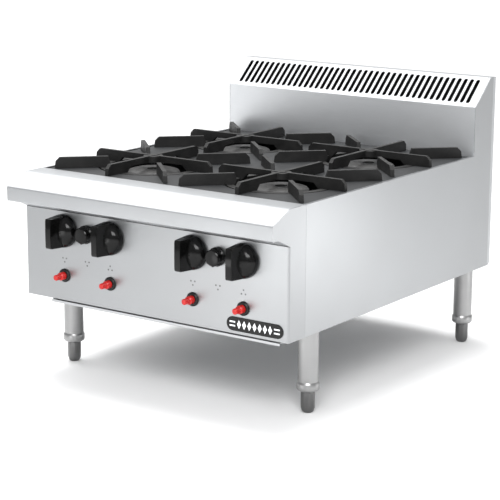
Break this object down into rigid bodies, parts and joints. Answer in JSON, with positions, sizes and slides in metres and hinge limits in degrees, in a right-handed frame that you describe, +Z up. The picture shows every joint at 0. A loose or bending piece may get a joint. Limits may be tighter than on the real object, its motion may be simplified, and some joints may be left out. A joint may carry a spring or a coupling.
{
  "type": "counter-top gas range",
  "caption": "Stainless counter-top gas range with open cast-iron burners and grates, turning gas knobs, push igniters, slide-out crumb tray, slotted rear flue and screw-adjusted legs.",
  "frame": {"origin": "on the floor, under the middle of the footprint from the front lip to the end of the gas inlet", "axes": "+Z up, the controls face -Y, +X to the right of a person who faces the controls"},
  "size_m": [0.61, 0.822, 0.549],
  "materials": {
    "stainless_brushed": "brushed",
    "stainless_bright": "fine brushed",
    "hob_enamel": "satin enamel",
    "zinc_steel": "zinc plated",
    "badge_black": "gloss",
    "gas_pipe": "satin",
    "pilot_tube": "satin",
    "knob_black": "gloss",
    "fastener_steel": "plated",
    "valve_brass": "turned",
    "igniter_black": "matte",
    "button_red": "gloss",
    "burner_iron": "as cast",
    "cap_iron": "as cast",
    "grate_iron": "matt black enamel on cast iron",
    "leg_steel": "satin",
    "foot_alloy": "die cast"
  },
  "bodies": {
    "frame": {"base_frame": "zinc_steel", "tray_runners": "zinc_steel", "side_panel_left": "stainless_brushed", "side_panel_right": "stainless_brushed", "control_panel": "stainless_brushed", "front_ledge": "stainless_bright", "hob_top": "hob_enamel", "rear_panel": "stainless_brushed", "splash_panel": "stainless_brushed", "vent_grille": "stainless_bright", "badge_plate": "badge_black", "burner_cradle": "zinc_steel", "gas_manifold": "gas_pipe", "pilot_line_left": "pilot_tube", "pilot_line_right": "pilot_tube", "fasteners": "fastener_steel", "gas_valve_front_left": "valve_brass", "gas_valve_rear_left": "valve_brass", "gas_valve_rear_right": "valve_brass", "gas_valve_front_right": "valve_brass", "igniter_body_front_left": "igniter_black", "igniter_body_rear_left": "igniter_black", "igniter_body_rear_right": "igniter_black", "igniter_body_front_right": "igniter_black", "burner_front_left": "burner_iron", "burner_rear_left": "burner_iron", "burner_rear_right": "burner_iron", "burner_front_right": "burner_iron", "leg_front_left": "leg_steel", "leg_rear_left": "leg_steel", "leg_rear_right": "leg_steel", "leg_front_right": "leg_steel"},
    "knob_front_left": {"knob_front_left": "knob_black", "valve_stem_front_left": "fastener_steel"},
    "knob_rear_left": {"knob_rear_left": "knob_black", "valve_stem_rear_left": "fastener_steel"},
    "knob_rear_right": {"knob_rear_right": "knob_black", "valve_stem_rear_right": "fastener_steel"},
    "knob_front_right": {"knob_front_right": "knob_black", "valve_stem_front_right": "fastener_steel"},
    "pilot_knob_left": {"pilot_knob_left": "knob_black"},
    "pilot_knob_right": {"pilot_knob_right": "knob_black"},
    "button_front_left": {"igniter_button_front_left": "button_red"},
    "button_rear_left": {"igniter_button_rear_left": "button_red"},
    "button_rear_right": {"igniter_button_rear_right": "button_red"},
    "button_front_right": {"igniter_button_front_right": "button_red"},
    "cap_front_left": {"burner_cap_front_left": "cap_iron"},
    "cap_rear_left": {"burner_cap_rear_left": "cap_iron"},
    "cap_rear_right": {"burner_cap_rear_right": "cap_iron"},
    "cap_front_right": {"burner_cap_front_right": "cap_iron"},
    "grate_front_left": {"grate_front_left": "grate_iron"},
    "grate_rear_left": {"grate_rear_left": "grate_iron"},
    "grate_rear_right": {"grate_rear_right": "grate_iron"},
    "grate_front_right": {"grate_front_right": "grate_iron"},
    "tray": {"crumb_tray": "stainless_bright"},
    "foot_front_left": {"foot_front_left": "foot_alloy"},
    "foot_rear_left": {"foot_rear_left": "foot_alloy"},
    "foot_rear_right": {"foot_rear_right": "foot_alloy"},
    "foot_front_right": {"foot_front_right": "foot_alloy"}
  },
  "joints": [
    {"name": "turn_knob_front_left", "type": "hinge", "parent": "frame", "child": "knob_front_left", "pos_m": [-0.2085, -0.36, 0.292], "axis": [0, -1, 0], "range_deg": [0, 90]},
    {"name": "turn_knob_rear_left", "type": "hinge", "parent": "frame", "child": "knob_rear_left", "pos_m": [-0.0965, -0.36, 0.292], "axis": [0, -1, 0], "range_deg": [0, 90]},
    {"name": "turn_knob_rear_right", "type": "hinge", "parent": "frame", "child": "knob_rear_right", "pos_m": [0.0965, -0.36, 0.292], "axis": [0, -1, 0], "range_deg": [0, 90]},
    {"name": "turn_knob_front_right", "type": "hinge", "parent": "frame", "child": "knob_front_right", "pos_m": [0.2085, -0.36, 0.292], "axis": [0, -1, 0], "range_deg": [0, 90]},
    {"name": "turn_pilot_knob_left", "type": "hinge", "parent": "frame", "child": "pilot_knob_left", "pos_m": [-0.1525, -0.36, 0.292], "axis": [0, -1, 0], "range_deg": [0, 180]},
    {"name": "turn_pilot_knob_right", "type": "hinge", "parent": "frame", "child": "pilot_knob_right", "pos_m": [0.1525, -0.36, 0.292], "axis": [0, -1, 0], "range_deg": [0, 180]},
    {"name": "press_button_front_left", "type": "slide", "parent": "frame", "child": "button_front_left", "axis": [0, 1, 0], "range_m": [0, 0.006], "stiffness_N_per_m": 1000, "springref_m": -0.003},
    {"name": "press_button_rear_left", "type": "slide", "parent": "frame", "child": "button_rear_left", "axis": [0, 1, 0], "range_m": [0, 0.006], "stiffness_N_per_m": 1000, "springref_m": -0.003},
    {"name": "press_button_rear_right", "type": "slide", "parent": "frame", "child": "button_rear_right", "axis": [0, 1, 0], "range_m": [0, 0.006], "stiffness_N_per_m": 1000, "springref_m": -0.003},
    {"name": "press_button_front_right", "type": "slide", "parent": "frame", "child": "button_front_right", "axis": [0, 1, 0], "range_m": [0, 0.006], "stiffness_N_per_m": 1000, "springref_m": -0.003},
    {"name": "lift_cap_front_left", "type": "slide", "parent": "frame", "child": "cap_front_left", "axis": [0, 0, 1], "range_m": [0, 0.012]},
    {"name": "lift_cap_rear_left", "type": "slide", "parent": "frame", "child": "cap_rear_left", "axis": [0, 0, 1], "range_m": [0, 0.012]},
    {"name": "lift_cap_rear_right", "type": "slide", "parent": "frame", "child": "cap_rear_right", "axis": [0, 0, 1], "range_m": [0, 0.012]},
    {"name": "lift_cap_front_right", "type": "slide", "parent": "frame", "child": "cap_front_right", "axis": [0, 0, 1], "range_m": [0, 0.012]},
    {"name": "lift_grate_front_left", "type": "slide", "parent": "frame", "child": "grate_front_left", "axis": [0, 0, 1], "range_m": [0, 0.1]},
    {"name": "lift_grate_rear_left", "type": "slide", "parent": "frame", "child": "grate_rear_left", "axis": [0, 0, 1], "range_m": [0, 0.1]},
    {"name": "lift_grate_rear_right", "type": "slide", "parent": "frame", "child": "grate_rear_right", "axis": [0, 0, 1], "range_m": [0, 0.1]},
    {"name": "lift_grate_front_right", "type": "slide", "parent": "frame", "child": "grate_front_right", "axis": [0, 0, 1], "range_m": [0, 0.1]},
    {"name": "pull_tray", "type": "slide", "parent": "frame", "child": "tray", "axis": [0, -1, 0], "range_m": [0, 0.5]},
    {"name": "screw_foot_front_left", "type": "slide", "parent": "frame", "child": "foot_front_left", "axis": [0, 0, -1], "range_m": [0, 0.025]},
    {"name": "screw_foot_rear_left", "type": "slide", "parent": "frame", "child": "foot_rear_left", "axis": [0, 0, -1], "range_m": [0, 0.025]},
    {"name": "screw_foot_rear_right", "type": "slide", "parent": "frame", "child": "foot_rear_right", "axis": [0, 0, -1], "range_m": [0, 0.025]},
    {"name": "screw_foot_front_right", "type": "slide", "parent": "frame", "child": "foot_front_right", "axis": [0, 0, -1], "range_m": [0, 0.025]}
  ]
}
